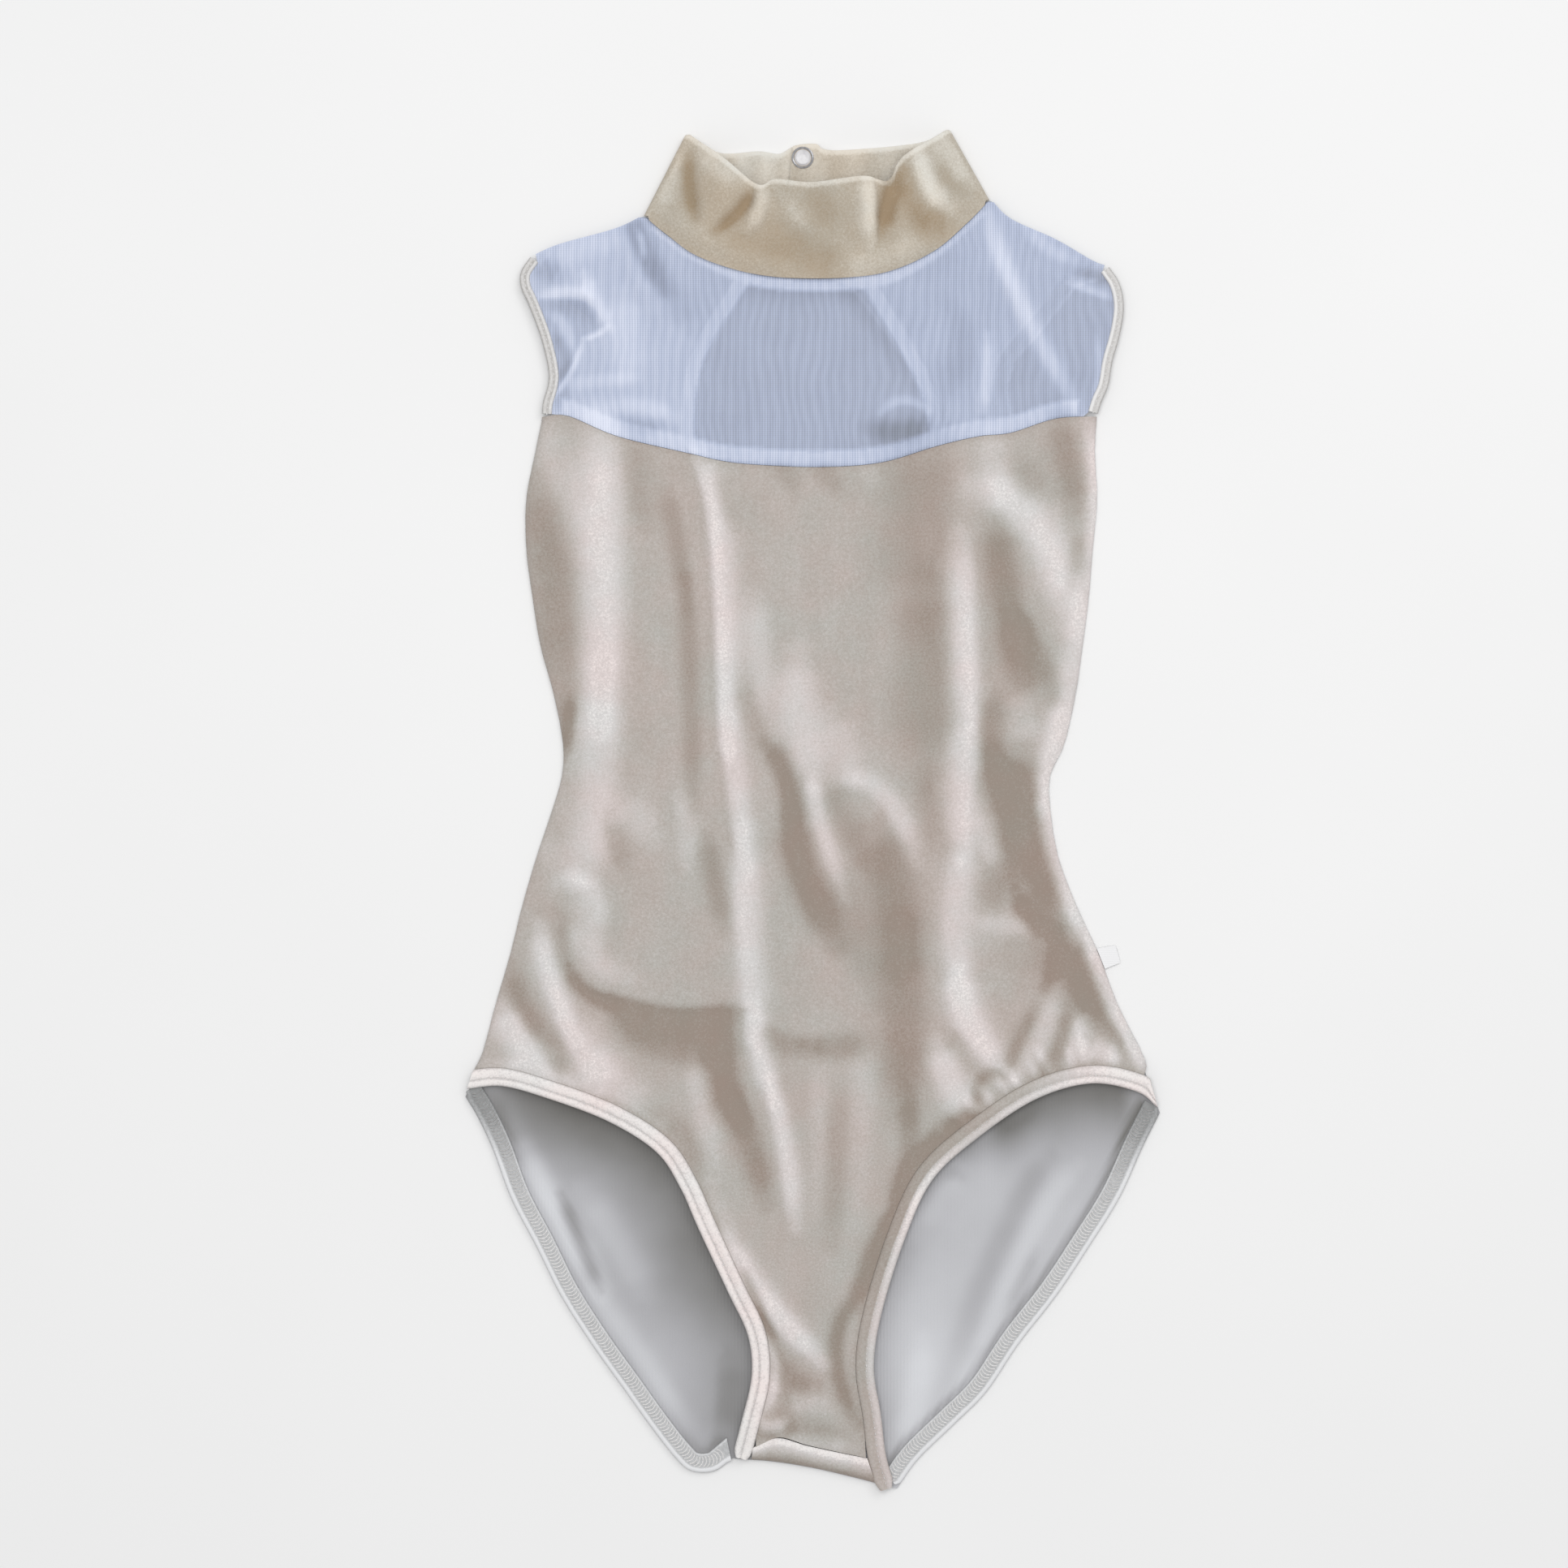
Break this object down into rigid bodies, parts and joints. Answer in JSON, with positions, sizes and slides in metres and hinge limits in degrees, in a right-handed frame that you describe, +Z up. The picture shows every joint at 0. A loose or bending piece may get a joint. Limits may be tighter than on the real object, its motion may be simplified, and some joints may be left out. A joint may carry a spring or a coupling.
{
  "type": "ballet leotard",
  "caption": "Sleeveless mock-neck ballet leotard in stretch velvet with a sheer net yoke, open back keyhole and ring snap, laid flat on its back",
  "frame": {"origin": "on the surface under the middle of the garment laid flat", "axes": "+X to the viewer's right, +Y from the legs to the collar, +Z up from the surface"},
  "size_m": [0.342, 0.6699, 0.0203],
  "materials": {
    "velvet_body": "champagne stretch velvet with a short satiny nap",
    "velvet_reverse": "matt knitted reverse of the stretch velvet, cool grey-white",
    "velvet_collar": "cream-gold stretch velvet with a short satiny nap",
    "stretch_net": "sheer white power net with fine upright ribs",
    "elastic_trim": "matt white elastic trim with coverstitching",
    "label_tape": "plain white woven tape, bare",
    "snap_ring": "polished nickel ring",
    "snap_cap": "pale pearl cap"
  },
  "bodies": {
    "root": {"front_body": "velvet_body", "back_body": "velvet_reverse", "front_yoke": "stretch_net", "back_yoke_left": "stretch_net", "back_yoke_right": "stretch_net", "collar": "velvet_collar", "yoke_seam_allowance": "stretch_net", "neck_seam_allowance": "stretch_net", "keyhole_hem_left": "stretch_net", "keyhole_hem_right": "stretch_net", "front_arm_binding_left": "elastic_trim", "front_arm_binding_right": "elastic_trim", "back_arm_binding_left": "elastic_trim", "back_arm_binding_right": "elastic_trim", "front_leg_band_left": "velvet_body", "front_leg_band_right": "velvet_body", "back_leg_casing_left": "elastic_trim", "back_leg_casing_right": "elastic_trim", "crotch_fold": "velvet_body", "side_label": "label_tape", "snap_ring": "snap_ring", "snap_cap": "snap_cap"}
  },
  "joints": []
}
